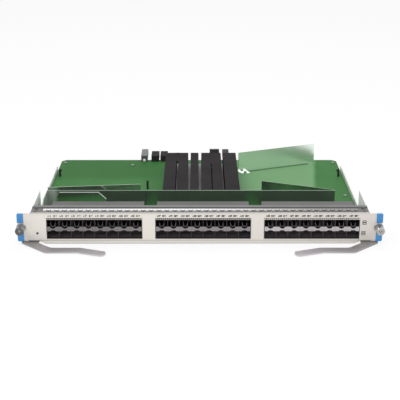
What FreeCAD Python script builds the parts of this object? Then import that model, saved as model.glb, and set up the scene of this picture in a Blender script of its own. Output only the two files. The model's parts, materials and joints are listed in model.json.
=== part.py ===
"""Switch line card: front panel with three groups of pluggable ports, ejector levers, captive
thumbscrews, circuit board with heat sink, air baffles and rear connectors.

Millimetres. X runs to the right, Y backwards from the front face of the panel, Z upwards from
the plane that the card rests on. X = 0 is the middle of the panel.
"""
import FreeCAD, Part
import math
import os
import re
import Sketcher

# Driving sizes: name, value, what it is
SIZES = [
    # Front panel
    ("panel_width", 440.0, "over the end caps"),
    ("panel_height", 40.0, "bottom edge to top edge"),
    ("panel_thick", 1.5, "sheet of the panel"),
    ("panel_mid_half", 204.6, "half width of the full-height middle"),
    ("end_top", 38.8, "top edge of the panel's ends"),
    ("end_bottom", 3.3, "bottom edge of the panel's ends, above the levers"),
    ("end_corner", 1.5, "corner cut of the panel's ends"),
    ("relief_deep", 1.4, "notch between middle and ends, below end_top"),
    ("relief_wide", 2.4, "width of that notch"),
    ("bottom_half", 187.0, "half width of the bottom edge"),
    ("lip_tall", 5.2, "height of the stepped band along the bottom"),
    ("lip_step", 0.5, "how far that band lies back"),
    ("slot_inner", 193.9, "inner end of the lever slot"),
    ("slot_outer", 206.6, "outer end of the lever slot"),
    ("slot_top", 4.4, "top of the lever slot"),
    ("pinhole_x", 202.5, "small hole left of the ports"),
    ("pinhole_z", 22.7, "its height"),
    ("pinhole_r", 0.7, "its radius"),
    ("lens_x", 196.0, "status lens"),
    ("lens_z", 13.6, "its height"),
    ("lens_r", 1.4, "its radius"),
    ("lens_proud", 0.4, "how far it stands out"),
    ("lens_long", 4.0, "its body behind the panel"),
    # Port groups
    ("port_pitch", 14.25, "column to column"),
    ("ports_per_row", 8, "columns of a group"),
    ("group_pitch", 131.05, "group to group"),
    ("group_centre", 3.8, "middle group"),
    ("window_wide", 115.6, "window of a group"),
    ("window_bottom", 6.2, "its bottom edge"),
    ("window_top", 33.2, "its top edge"),
    ("cage_gap", 0.35, "cage to window, each side"),
    ("cage_back", 65.0, "rear end of the cage"),
    ("cage_top", 31.0, "top of the cage"),
    ("cage_sheet", 0.5, "sheet of the cage"),
    ("cage_front", 0.3, "front edge of the cage"),
    ("divider_front", 1.5, "front edge of the dividers"),
    ("divider_back", 52.0, "their rear edge"),
    ("separator_back", 49.0, "rear end of the bar between the rows"),
    ("band_low", 16.2, "lower edge of its front band"),
    ("band_high", 21.9, "top of the posts on its front band"),
    ("band_slot", 20.2, "floor of the gap between two posts"),
    ("band_notch", 17.4, "top of the notch under each port"),
    ("band_gap_wide", 6.2, "width of gap and notch"),
    ("band_front", 0.1, "front face of the band"),
    ("fit_gap", 0.05, "clearance between pieces slid together"),
    ("receptacle_front", 49.4, "front of the receptacles"),
    ("receptacle_wide", 13.2, "width of one"),
    ("receptacle_slot_wide", 10.6, "card slot in a receptacle"),
    ("receptacle_slot_tall", 1.6, "its height"),
    ("receptacle_slot_deep", 8.0, "its depth"),
    ("spring_pitch", 2.4, "grounding teeth over a window"),
    ("spring_count", 47, "gaps between them"),
    ("spring_gap", 0.9, "width of a gap"),
    ("spring_rise", 1.9, "how high a tooth stands on the cage"),
    ("spring_long", 6.0, "depth of a tooth"),
    ("spring_root", 2.0, "strip behind the teeth"),
    ("spring_sheet", 0.35, "thickness of that strip"),
    # Flange and its finger strip
    ("flange_half", 203.8, "half width of the flange"),
    ("flange_deep", 26.0, "rear edge"),
    ("flange_sheet", 0.8, "sheet"),
    ("flange_step", 0.8, "front part lies lower by this"),
    ("flange_step_y", 18.6, "where it steps up"),
    ("flange_drop", 6.0, "lip down behind the panel"),
    ("flange_corner", 3.0, "cut of its rear corners"),
    ("strip_front", 4.6, "front ends of the long fingers"),
    ("strip_back", 15.2, "rear edge of the strip"),
    ("strip_root", 2.6, "solid band at the rear"),
    ("strip_rise", 1.5, "crest above the flange"),
    ("strip_sheet", 0.3, "spring sheet"),
    ("finger_pitch", 4.75, "finger to finger"),
    ("finger_count", 80, "fingers"),
    ("finger_gap", 0.8, "gap between fingers"),
    ("finger_short", 2.2, "every second finger is shorter by this"),
    ("strip_shift", 0.6, "middle of the strip, to the right"),
    ("flange_screw_x", 197.9, "small screws at the flange's ends"),
    ("flange_screw_front", 4.0, "front pair"),
    ("flange_screw_back", 15.6, "rear pair"),
    ("small_head_r", 1.9, "their heads"),
    ("small_head_tall", 1.1, "height of the heads"),
    ("small_shank_r", 1.0, "their shanks"),
    ("small_shank_long", 3.0, "length under the head"),
    ("screw_gap", 0.1, "radial clearance of screw holes"),
    # End caps
    ("cap_wide", 7.5, "width seen from the front"),
    ("cap_wall", 0.6, "wall at the outer end"),
    ("cap_proud", 0.8, "front wall"),
    ("cap_back", 0.8, "rear wall"),
    ("cap_round", 2.0, "outer corner"),
    ("cap_gap_low", 14.4, "bottom of the bare stretch around the screw"),
    ("cap_gap_high", 27.2, "top of that stretch"),
    # Captive thumbscrews
    ("screw_x", 215.3, "axis"),
    ("screw_z", 21.2, "axis"),
    ("knob_r", 5.2, "knurled head"),
    ("knob_front", 15.0, "front face, ahead of the panel"),
    ("knob_back", 8.6, "rear rim, ahead of the panel"),
    ("knob_chamfer", 0.7, "edge of the head"),
    ("knob_skirt_r", 4.55, "hollow behind the head"),
    ("knob_skirt_deep", 4.4, "its depth"),
    ("knob_dish_r", 3.7, "shallow dish in the front face"),
    ("knob_dish_deep", 0.35, "its depth"),
    ("knurl_count", 20, "grooves round the head"),
    ("knurl_deep", 0.45, "depth of a groove"),
    ("knurl_wide", 0.9, "width of a groove"),
    ("cross_long", 4.8, "cross recess"),
    ("cross_wide", 1.2, "its slot"),
    ("cross_deep", 1.6, "its depth"),
    ("shank_r", 2.0, "shank"),
    ("shank_tip", 8.0, "tip behind the panel's front face"),
    ("tip_chamfer", 0.5, "end of the shank"),
    ("groove_r", 1.5, "groove for the ring"),
    ("groove_wide", 1.0, "its width"),
    ("ring_r", 3.4, "retaining ring"),
    ("ring_gap", 0.3, "ring behind the ferrule"),
    ("ferrule_r", 5.8, "flange of the ferrule"),
    ("ferrule_flange", 1.4, "its thickness"),
    ("barrel_r", 4.3, "barrel of the ferrule"),
    ("barrel_front", 8.2, "its front end, ahead of the panel"),
    ("spigot_r", 3.2, "spigot in the panel"),
    # Ejector levers
    ("pivot_x", 204.0, "upright rivet"),
    ("pivot_y", 9.0, "behind the panel's face"),
    ("pivot_r", 2.5, "its shoulder"),
    ("lever_low", 0.8, "underside of the lever"),
    ("lever_sheet", 2.0, "its thickness"),
    ("lever_wide", 12.5, "width of the blade"),
    ("lever_angle", 43.5, "slope of the first leg, degrees"),
    ("lever_bend_x", 180.8, "first bend"),
    ("lever_reach", 25.8, "middle of the straight leg, ahead of the panel"),
    ("lever_bend2_x", 144.5, "second bend"),
    ("tip_angle", 20.3, "slope of the last leg, degrees"),
    ("tip_long", 34.5, "length of the last leg"),
    ("tip_round", 5.0, "corners of the tip"),
    ("bend_round", 9.0, "rounding of the bends"),
    ("heel_x", 215.4, "outer end of the heel"),
    ("heel_tall", 3.0, "heel behind the pivot's line"),
    ("boss_half", 9.0, "inner side of the boss"),
    ("boss_back", 7.0, "rear side of the boss"),
    ("boss_round", 4.0, "its corners"),
    ("pin_gap", 0.05, "running clearance on the rivet"),
    ("rivet_head_r", 3.8, "head under the lever"),
    ("rivet_head", 0.7, "its thickness"),
    ("rivet_neck_r", 1.8, "neck in the bracket"),
    ("rivet_top_r", 3.0, "formed head on the bracket"),
    ("rivet_top", 1.0, "its height"),
    ("bracket_gap", 0.15, "bracket above the lever"),
    ("bracket_sheet", 1.2, "sheet of the bracket"),
    ("bracket_inner", 194.6, "inner end"),
    ("bracket_outer", 211.6, "outer end"),
    ("bracket_back", 20.0, "rear edge"),
    ("bracket_lip", 14.0, "top of its upright lip"),
    # Tray and board
    ("tray_half", 206.2, "half width over the side walls"),
    ("tray_sheet", 1.2, "sheet"),
    ("tray_wall", 12.5, "top of the side walls"),
    ("tray_front_half", 187.0, "half width ahead of the levers' corner"),
    ("tray_corner_back", 21.0, "rear edge of those corner cuts"),
    ("tray_back", 306.0, "rear edge of the floor"),
    ("wall_back", 268.0, "rear end of the side walls"),
    ("board_half", 204.5, "half width of the board"),
    ("board_front", 3.2, "front edge"),
    ("board_back", 316.0, "rear edge"),
    ("board_low", 4.1, "underside"),
    ("board_thick", 2.4, "thickness"),
    ("board_front_half", 193.0, "half width ahead of the corner cuts"),
    ("board_corner", 6.0, "cut of the rear corners"),
    ("board_slot_wide", 2.6, "narrow slots through the board"),
    ("side_slot_x", 200.0, "slots near the sides"),
    ("side_slot_front", 240.0, "their front end"),
    ("side_slot_back", 268.0, "their rear end"),
    ("mid_slot_x", 72.5, "slot left of the heat sink"),
    ("mid_slot_front", 186.0, "its front end"),
    ("mid_slot_back", 220.0, "its rear end"),
    ("standoff_r", 3.0, "standoffs under the board"),
    ("board_screw_r", 2.8, "heads of the board screws"),
    ("board_screw_tall", 1.8, "their height"),
    ("board_hole_r", 1.6, "holes for them"),
    # Upright plates and baffles
    ("plate_x", 203.0, "inner face of the side plates"),
    ("plate_sheet", 1.2, "their sheet"),
    ("plate_front", 26.3, "front edge"),
    ("plate_back", 82.0, "rear edge"),
    ("plate_foot", 4.0, "foot on the board"),
    ("baffle_sheet", 1.0, "sheet of the baffles"),
    ("baffle_top", 35.5, "top edge of the front and side baffles"),
    ("baffle_foot", 8.0, "foot on the board"),
    ("front_baffle_y", 94.0, "front face of the front baffle"),
    ("front_baffle_left", -196.6, "left end"),
    ("front_baffle_right", 174.0, "right end"),
    ("front_return", 52.0, "front end of its left return"),
    ("front_foot_right", 138.0, "right end of its foot"),
    ("opening_left_low", -184.0, "opening in it, left edge"),
    ("opening_left_turn", 27.0, "height where that edge slopes in"),
    ("opening_left_top", -180.0, "left end of its top edge"),
    ("opening_top", 32.5, "top edge"),
    ("opening_right_top", -130.5, "right end of the top edge"),
    ("opening_right_low", -120.7, "right edge"),
    ("opening_right_turn", 23.6, "height where the right edge starts"),
    ("left_baffle_x1", -197.0, "left baffle, left end"),
    ("left_baffle_y1", 106.0, "its depth there"),
    ("left_baffle_x2", -77.0, "right end"),
    ("left_baffle_y2", 119.0, "its depth there"),
    ("right_baffle_x1", 82.0, "right baffle, left end"),
    ("right_baffle_y1", 132.0, "its depth there"),
    ("right_baffle_x2", 173.4, "right end"),
    ("right_baffle_y2", 96.4, "its depth there"),
    ("rear_baffle_x1", 56.6, "rear baffle, left end"),
    ("rear_baffle_y1", 256.0, "its depth there"),
    ("rear_baffle_x2", 170.0, "right end"),
    ("rear_baffle_y2", 301.5, "its depth there"),
    ("rear_baffle_top", 36.3, "its top edge"),
    ("tab_long", 14.0, "screwed tab at the left end of the rear baffle"),
    ("tab_deep", 10.0, "how far the tab stands forward"),
    ("tab_screw_r", 2.4, "head of its screw"),
    # Heat sink
    ("chip_side", 34.0, "side of a chip under the heat sink"),
    ("chip_tall", 2.4, "height of a chip"),
    ("chip_front", 122.0, "middle of the first chip"),
    ("chip_pitch", 66.0, "chip to chip"),
    ("sink_left", -49.0, "left edge of the base"),
    ("sink_right", 53.6, "right edge"),
    ("sink_front", 101.0, "front edge"),
    ("sink_back", 282.0, "rear edge"),
    ("sink_base", 2.2, "thickness of the base"),
    ("bar_front", 104.0, "front end of the bars"),
    ("bar_back", 280.0, "rear end"),
    ("bar_top", 28.9, "top of the bars"),
    # Rear connectors
    ("power_left", -71.0, "left power connector, left side"),
    ("power_mid", -59.6, "its right side"),
    ("power_mid2", -57.7, "second power connector, left side"),
    ("power_right", -47.0, "its right side"),
    ("power_front", 308.0, "front of the power connectors"),
    ("power_back", 333.0, "their rear"),
    ("power_top", 15.3, "their top"),
    ("power_slot_wide", 1.8, "contact slots in their rear face"),
    ("power_slot_deep", 10.0, "depth of those slots"),
    ("power_slot_count", 3, "slots of one connector"),
    ("signal_left", 16.0, "signal connector, left side"),
    ("signal_right", 30.0, "right side"),
    ("signal_front", 306.0, "front"),
    ("signal_back", 333.0, "rear"),
    ("signal_top", 19.0, "top"),
    ("signal_slot_count", 6, "wafer gaps"),
    ("signal_slot_wide", 0.9, "width of a gap"),
    ("signal_slot_deep", 3.0, "depth of a gap"),
    ("guide_left_x", -81.5, "left guide block, middle"),
    ("guide_right_x", 39.8, "right guide block, middle"),
    ("guide_wide", 9.4, "width"),
    ("guide_front", 308.0, "front"),
    ("guide_back", 344.0, "rear"),
    ("guide_top", 15.6, "top"),
    ("guide_bore_r", 2.6, "bore for the backplane's guide pin"),
    ("guide_bore_deep", 22.0, "its depth"),
    ("guide_nose", 2.0, "bevel at the rear"),
]

NAMES = {name for name, value, note in SIZES}
BAR_EDGES = [(-48.3, -32.5), (-29.5, -15.8), (-12.3, -1.0), (2.9, 16.0), (17.6, 31.2), (34.0, 53.0)]
SCREW_SPOTS = [(-197.0, 154.0), (197.0, 154.0), (-198.0, 300.0), (198.0, 300.0), (-97.5, 289.0),
               (97.5, 289.0), (-66.0, 84.0), (66.0, 84.0)]

doc = FreeCAD.newDocument("line_card")
sheet = doc.addObject("Spreadsheet::Sheet", "Sizes")
nodes = []


def fill_sheet():
    """Writes every driving size into the spreadsheet under its own name."""
    for row, (name, value, note) in enumerate(SIZES, start=1):
        sheet.set("A%d" % row, note)
        sheet.set("B%d" % row, str(value))
        sheet.setAlias("B%d" % row, name)
    doc.recompute()


def size(name):
    """The present value of one size."""
    return float(sheet.get(name))


def tied(text):
    """An expression in plain names, turned into one that reads the spreadsheet."""
    def full(match):
        word = match.group(0)
        return "Sizes." + word if word in NAMES else word

    return re.sub(r"[a-z][a-z0-9_]*", full, text)


def bind(obj, **expressions):
    """Ties properties of an object to expressions; a double underscore stands for a dot."""
    for name, text in expressions.items():
        obj.setExpression(name.replace("__", "."), tied(text))


def node(obj, label):
    """Registers a finished sub-part under its file name."""
    obj.Label = label
    nodes.append(obj)
    return obj


def origin_part(body, role):
    """One origin plane or axis of a body."""
    return next(f for f in body.Origin.OriginFeatures if f.Role == role)


def rectangle(x0, x1, y0, y1):
    """Four corners of a rectangle, as expressions."""
    return [(x0, y0), (x1, y0), (x1, y1), (x0, y1)]


def both_sides(right):
    """A right half outline, bottom to top, completed by its mirror image."""
    return right + [("-(%s)" % x, y) for x, y in reversed(right)]


def sketch(body, letters, level, loops, circles=()):
    """A sketch whose corners and centres are all tied to the spreadsheet.

    level is the place of its plane along the third axis.
    """
    shape = body.newObject("Sketcher::SketchObject", body.Name + "_sketch")
    shape.AttachmentSupport = [(origin_part(body, letters + "_Plane"), "")]
    shape.MapMode = "FlatFace"
    bind(shape, AttachmentOffset__Base__z="-(%s)" % level if letters == "XZ" else level)
    limits = []
    ties = []
    first = 0
    for loop in loops:
        count = len(loop)
        turns = [2 * math.pi * i / count for i in range(count)]
        spots = [FreeCAD.Vector(9 * math.cos(turn), 9 * math.sin(turn), 0) for turn in turns]
        lines = [Part.LineSegment(spots[i], spots[(i + 1) % count]) for i in range(count)]
        shape.addGeometry(lines, False)
        for i, (x, y) in enumerate(loop):
            limits.append(Sketcher.Constraint("Coincident", first + i, 2, first + (i + 1) % count, 1))
            ties.append(None)
            limits.append(Sketcher.Constraint("DistanceX", -1, 1, first + i, 1, spots[i].x))
            ties.append(x)
            limits.append(Sketcher.Constraint("DistanceY", -1, 1, first + i, 1, spots[i].y))
            ties.append(y)
        first += count
    for x, y, radius in circles:
        shape.addGeometry(Part.Circle(FreeCAD.Vector(0, 0, 0), FreeCAD.Vector(0, 0, 1), 1), False)
        limits.append(Sketcher.Constraint("DistanceX", -1, 1, first, 3, 0.0))
        limits.append(Sketcher.Constraint("DistanceY", -1, 1, first, 3, 0.0))
        limits.append(Sketcher.Constraint("Radius", first, 1.0))
        ties.extend([x, y, radius])
        first += 1
    shape.addConstraint(limits)
    for i, text in enumerate(ties):
        if text is not None:
            shape.setExpression("Constraints[%d]" % i, tied(text))
    return shape


def new_body(name):
    """An empty body."""
    return doc.addObject("PartDesign::Body", name)


def pad(body, letters, level, depth, loops, circles=()):
    """Material from level to level + depth along the third axis."""
    feature = body.newObject("PartDesign::Pad", body.Name + "_pad")
    feature.Profile = sketch(body, letters, level, loops, circles)
    feature.Reversed = letters == "XZ"
    bind(feature, Length=depth)
    body.Tip = feature
    doc.recompute()
    return feature


def pocket(body, letters, level, depth, loops, circles=()):
    """A cut from level to level + depth along the third axis."""
    before = body.Shape.Volume
    feature = body.newObject("PartDesign::Pocket", body.Name + "_pocket")
    feature.Profile = sketch(body, letters, level, loops, circles)
    feature.Reversed = letters != "XZ"
    bind(feature, Length=depth)
    body.Tip = feature
    doc.recompute()
    if body.Shape.Volume >= before:
        raise RuntimeError(body.Name + ": a cut removes nothing")
    return feature


def row_of(body, feature, count, pitch):
    """Repeats a feature along X."""
    pattern = body.newObject("PartDesign::LinearPattern", body.Name + "_row")
    pattern.Originals = [feature]
    pattern.Direction = (origin_part(body, "X_Axis"), [""])
    bind(pattern, Length="(%s - 1) * %s" % (count, pitch), Occurrences=count)
    body.Tip = pattern
    doc.recompute()
    return pattern


def ring_of(body, feature, count):
    """Repeats a feature round the Y axis."""
    pattern = body.newObject("PartDesign::PolarPattern", body.Name + "_ring")
    pattern.Originals = [feature]
    pattern.Axis = (origin_part(body, "Y_Axis"), [""])
    pattern.Angle = 360
    bind(pattern, Occurrences=count)
    body.Tip = pattern
    doc.recompute()
    return pattern


def round_edges(body, radius, wanted):
    """Rounds the edges of the body that the test picks."""
    last = body.Tip
    names = ["Edge%d" % i for i, edge in enumerate(last.Shape.Edges, start=1) if wanted(edge)]
    feature = body.newObject("PartDesign::Fillet", body.Name + "_round")
    feature.Base = (last, names)
    bind(feature, Radius=radius)
    body.Tip = feature
    doc.recompute()
    return feature


def upright(edge):
    """True for a straight edge along Z."""
    box = edge.BoundBox
    return box.ZLength > 0.1 and box.XLength < 0.001 and box.YLength < 0.001


def turned(name, profile):
    """A body turned about the Y axis from corners given as radius and depth."""
    body = new_body(name)
    feature = body.newObject("PartDesign::Revolution", name + "_turn")
    feature.Profile = sketch(body, "XY", "0", [profile])
    feature.ReferenceAxis = (feature.Profile[0], ["V_Axis"])
    feature.Angle = 360
    body.Tip = feature
    doc.recompute()
    return body


def place(obj, x="0", y="0", z="0"):
    """Ties the place of an object to expressions."""
    bind(obj, Placement__Base__x=x, Placement__Base__y=y, Placement__Base__z=z)


def box(name, x, y, z, long, deep, tall):
    """A block from its lowest corner and its three sides."""
    block = doc.addObject("Part::Box", name)
    bind(block, Length=long, Width=deep, Height=tall)
    place(block, x, y, z)
    return block


def group(label, members):
    """Several like pieces in one node."""
    whole = doc.addObject("Part::Compound", label)
    whole.Links = members
    return node(whole, label)


def twin_of(source, name):
    """The mirror image of a left-hand piece."""
    twin = doc.addObject("Part::Mirroring", name)
    twin.Source = source
    twin.Normal = (1, 0, 0)
    return twin


def mirrored(source, label):
    """The right-hand twin of a left-hand piece, as a node of its own."""
    return node(twin_of(source, label), label)


def moved(source, name, x):
    """The same piece again, further along X."""
    copy = doc.addObject("App::Link", name)
    copy.LinkedObject = source
    place(copy, x=x)
    return copy


def make_panel():
    """Painted sheet: outline with relief notches and lever slots, three windows, stepped band."""
    end = "panel_width / 2 - cap_wall"
    right = [
        ("bottom_half", "0"),
        ("slot_inner", "end_bottom"),
        ("slot_inner", "slot_top"),
        ("slot_outer", "slot_top"),
        ("slot_outer", "end_bottom"),
        (end + " - end_corner", "end_bottom"),
        (end, "end_bottom + end_corner"),
        (end, "end_top - end_corner"),
        (end + " - end_corner", "end_top"),
        ("panel_mid_half + relief_wide", "end_top"),
        ("panel_mid_half", "end_top - relief_deep"),
        ("panel_mid_half", "panel_height"),
    ]
    windows = []
    for step in (-1, 0, 1):
        middle = "group_centre + %d * group_pitch" % step
        left = middle + " - window_wide / 2"
        windows.append(rectangle(left, left + " + window_wide", "window_bottom", "window_top"))
    holes = [
        ("screw_x", "screw_z", "spigot_r"),
        ("-screw_x", "screw_z", "spigot_r"),
        ("-lens_x", "lens_z", "lens_r"),
        ("-pinhole_x", "pinhole_z", "pinhole_r"),
    ]
    body = new_body("front_panel")
    pad(body, "XZ", "0", "panel_thick", [both_sides(right)] + windows, holes)
    band = rectangle("-slot_inner", "slot_inner", "-lip_tall", "lip_tall")
    pocket(body, "XZ", "0", "lip_step", [band])
    node(body, "front_panel")


def make_end_caps():
    """Blue clips over the panel's ends, above and below the screw."""
    inner = "-(panel_width / 2 - cap_wide)"
    outer = "-panel_width / 2"
    slot_end = "-(panel_width / 2 - cap_wall)"
    depth = "cap_proud + panel_thick + cap_back"
    spans = (("upper", "cap_gap_high", "end_top"), ("lower", "end_bottom", "cap_gap_low"))
    for place_word, low, high in spans:
        body = new_body("cap_" + place_word)
        pad(body, "XZ", "-cap_proud", depth, [rectangle(outer, inner, low, high)])
        corner = size("end_top") if place_word == "upper" else size("end_bottom")
        edge_x = -size("panel_width") / 2

        def outer_corner(edge, corner=corner, edge_x=edge_x):
            box_of = edge.BoundBox
            beside = abs(box_of.Center.x - edge_x) < 0.01 and abs(box_of.Center.z - corner) < 0.01
            return beside and box_of.YLength > 0.1 and box_of.ZLength < 0.01

        round_edges(body, "cap_round", outer_corner)
        slot = rectangle(slot_end, inner + " + 1", "0", "panel_thick")
        pocket(body, "XY", "end_bottom - 1", "panel_height", [slot])
        node(body, "end_cap_left_" + place_word)
        mirrored(body, "end_cap_right_" + place_word)


def make_status_lens():
    """Small dark lens through the panel, left of the ports."""
    lens = doc.addObject("Part::Cylinder", "lens_rod")
    bind(lens, Radius="lens_r", Height="lens_proud + panel_thick + lens_long")
    lens.Placement.Rotation = FreeCAD.Rotation(FreeCAD.Vector(1, 0, 0), -90)
    place(lens, "-lens_x", "-lens_proud", "lens_z")
    node(lens, "status_lens")


def make_flange():
    """Folded strip: lip down behind the panel, low front part, step up to the rear lip."""
    low = "panel_height - flange_step"
    half = "flange_sheet / 2"
    outline = [
        ("panel_thick", "panel_height - flange_drop"),
        ("panel_thick + flange_sheet", "panel_height - flange_drop"),
        ("panel_thick + flange_sheet", low + " - flange_sheet"),
        ("flange_step_y + " + half, low + " - flange_sheet"),
        ("flange_step_y + flange_step + " + half, "panel_height - flange_sheet"),
        ("flange_deep", "panel_height - flange_sheet"),
        ("flange_deep", "panel_height"),
        ("flange_step_y + flange_step", "panel_height"),
        ("flange_step_y", low),
        ("panel_thick", low),
    ]
    body = new_body("flange")
    pad(body, "YZ", "-flange_half", "2 * flange_half", [outline])
    corner = [
        ("flange_half - flange_corner", "flange_deep + 1"),
        ("flange_half - flange_corner", "flange_deep"),
        ("flange_half", "flange_deep - flange_corner"),
        ("flange_half + 1", "flange_deep - flange_corner"),
        ("flange_half + 1", "flange_deep + 1"),
    ]
    holes = []
    for side in ("", "-"):
        for depth in ("flange_screw_front", "flange_screw_back"):
            holes.append((side + "flange_screw_x", depth, "small_shank_r + screw_gap"))
    other = [("-(%s)" % x, y) for x, y in corner]
    pocket(body, "XY", "0", "panel_height + 1", [corner, other], holes)
    node(body, "top_flange")


def screw(name, x, y, seat, head_r, head, shank_r, shank):
    """A pan-head screw standing on a seat, as one turned solid."""
    body = new_body(name)
    feature = body.newObject("PartDesign::Revolution", name + "_turn")
    profile = [
        ("0", "-(%s)" % shank),
        (shank_r, "-(%s)" % shank),
        (shank_r, "0"),
        (head_r, "0"),
        (head_r, "(%s) * 0.6" % head),
        ("(%s) * 0.7" % head_r, head),
        ("0", head),
    ]
    feature.Profile = sketch(body, "XZ", "0", [profile])
    feature.ReferenceAxis = (feature.Profile[0], ["V_Axis"])
    feature.Angle = 360
    body.Tip = feature
    place(body, x, y, seat)
    return body


def make_flange_screws():
    """Four small screws at the ends of the flange."""
    members = []
    for side in ("-", ""):
        for depth in ("flange_screw_front", "flange_screw_back"):
            members.append(screw("flange_screw", side + "flange_screw_x", depth, "panel_height - flange_step",
                                 "small_head_r", "small_head_tall", "small_shank_r", "small_shank_long"))
    group("flange_screws", members)


def make_finger_strip():
    """Spring strip: a rail on the flange with arched fingers, every second one shorter."""
    seat = "panel_height - flange_step"
    root = "strip_back - strip_root"
    outline = [
        ("strip_back", seat),
        ("strip_back", seat + " + strip_sheet"),
        (root, seat + " + strip_sheet"),
        (root + " - 2", seat + " + strip_rise"),
        ("strip_front + 2.6", seat + " + strip_rise"),
        ("strip_front", seat + " + 2 * strip_sheet"),
        ("strip_front", seat + " + strip_sheet"),
        ("strip_front + 2.8", seat + " + strip_rise - strip_sheet"),
        (root + " - 2.2", seat + " + strip_rise - strip_sheet"),
        (root + " - 0.2", seat),
    ]
    left = "strip_shift - finger_count * finger_pitch / 2"
    body = new_body("strip")
    pad(body, "YZ", left, "finger_count * finger_pitch", [outline])
    gap = rectangle(left + " - finger_gap / 2", left + " + finger_gap / 2", "strip_front - 1", root)
    cut = pocket(body, "XY", seat + " - 1", "strip_rise + 2", [gap])
    row_of(body, cut, "finger_count + 1", "finger_pitch")
    trim_left = left + " + finger_pitch - finger_gap / 2"
    trim = rectangle(trim_left, trim_left + " + finger_pitch + finger_gap", "strip_front - 1",
                     "strip_front + finger_short")
    short = pocket(body, "XY", seat + " - 1", "strip_rise + 2", [trim])
    row_of(body, short, "finger_count / 2", "2 * finger_pitch")
    node(body, "emi_finger_strip")


def make_screw_hardware():
    """Captive thumbscrew, its ferrule and its ring, turned about one axis on each side."""
    knob = turned("captive_screw", [
        ("0", "-knob_front + knob_dish_deep"),
        ("knob_dish_r", "-knob_front + knob_dish_deep"),
        ("knob_dish_r + 0.2", "-knob_front"),
        ("knob_r - knob_chamfer", "-knob_front"),
        ("knob_r", "-knob_front + knob_chamfer"),
        ("knob_r", "-knob_back"),
        ("knob_skirt_r", "-knob_back"),
        ("knob_skirt_r", "-knob_back - knob_skirt_deep"),
        ("shank_r", "-knob_back - knob_skirt_deep"),
        ("shank_r", "panel_thick + ring_gap - fit_gap"),
        ("groove_r", "panel_thick + ring_gap - fit_gap"),
        ("groove_r", "panel_thick + ring_gap - fit_gap + groove_wide"),
        ("shank_r", "panel_thick + ring_gap - fit_gap + groove_wide"),
        ("shank_r", "shank_tip - tip_chamfer"),
        ("shank_r - tip_chamfer", "shank_tip"),
        ("0", "shank_tip"),
    ])
    groove = [
        ("-knurl_wide / 2", "knob_r + 0.1"),
        ("0", "knob_r - knurl_deep"),
        ("knurl_wide / 2", "knob_r + 0.1"),
    ]
    cut = pocket(knob, "XZ", "-knob_front + knob_chamfer", "knob_front - knob_back", [groove])
    ring_of(knob, cut, "knurl_count")
    arm = "cross_long / 2"
    half = "cross_wide / 2"
    quarter = [(half, arm), (half, half), (arm, half)]
    cross = [(x, y) for x, y in reversed(quarter)]
    cross += [("-(%s)" % x, y) for x, y in quarter]
    cross += [("-(%s)" % x, "-(%s)" % y) for x, y in reversed(quarter)]
    cross += [(x, "-(%s)" % y) for x, y in quarter]
    pocket(knob, "XZ", "-knob_front - 1", "1 + knob_dish_deep + cross_deep", [cross])
    ferrule = turned("ferrule", [
        ("shank_r + fit_gap", "-barrel_front"),
        ("barrel_r - 0.4", "-barrel_front"),
        ("barrel_r", "-barrel_front + 0.4"),
        ("barrel_r", "-ferrule_flange"),
        ("ferrule_r - 0.4", "-ferrule_flange"),
        ("ferrule_r", "-ferrule_flange + 0.4"),
        ("ferrule_r", "0"),
        ("spigot_r", "0"),
        ("spigot_r", "panel_thick"),
        ("shank_r + fit_gap", "panel_thick"),
    ])
    ring_front = "panel_thick + ring_gap"
    ring_back = "panel_thick + ring_gap + groove_wide - 2 * fit_gap"
    ring = turned("ring", [
        ("groove_r + fit_gap", ring_front),
        ("ring_r", ring_front),
        ("ring_r", ring_back),
        ("groove_r + fit_gap", ring_back),
    ])
    for body, label in ((knob, "captive_screw"), (ring, "screw_ring")):
        place(body, x="-screw_x", z="screw_z")
        node(body, label + "_left")
        mirrored(body, label + "_right")
    place(ferrule, x="-screw_x", z="screw_z")
    group("screw_ferrules", [ferrule, twin_of(ferrule, "ferrule_twin")])


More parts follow.
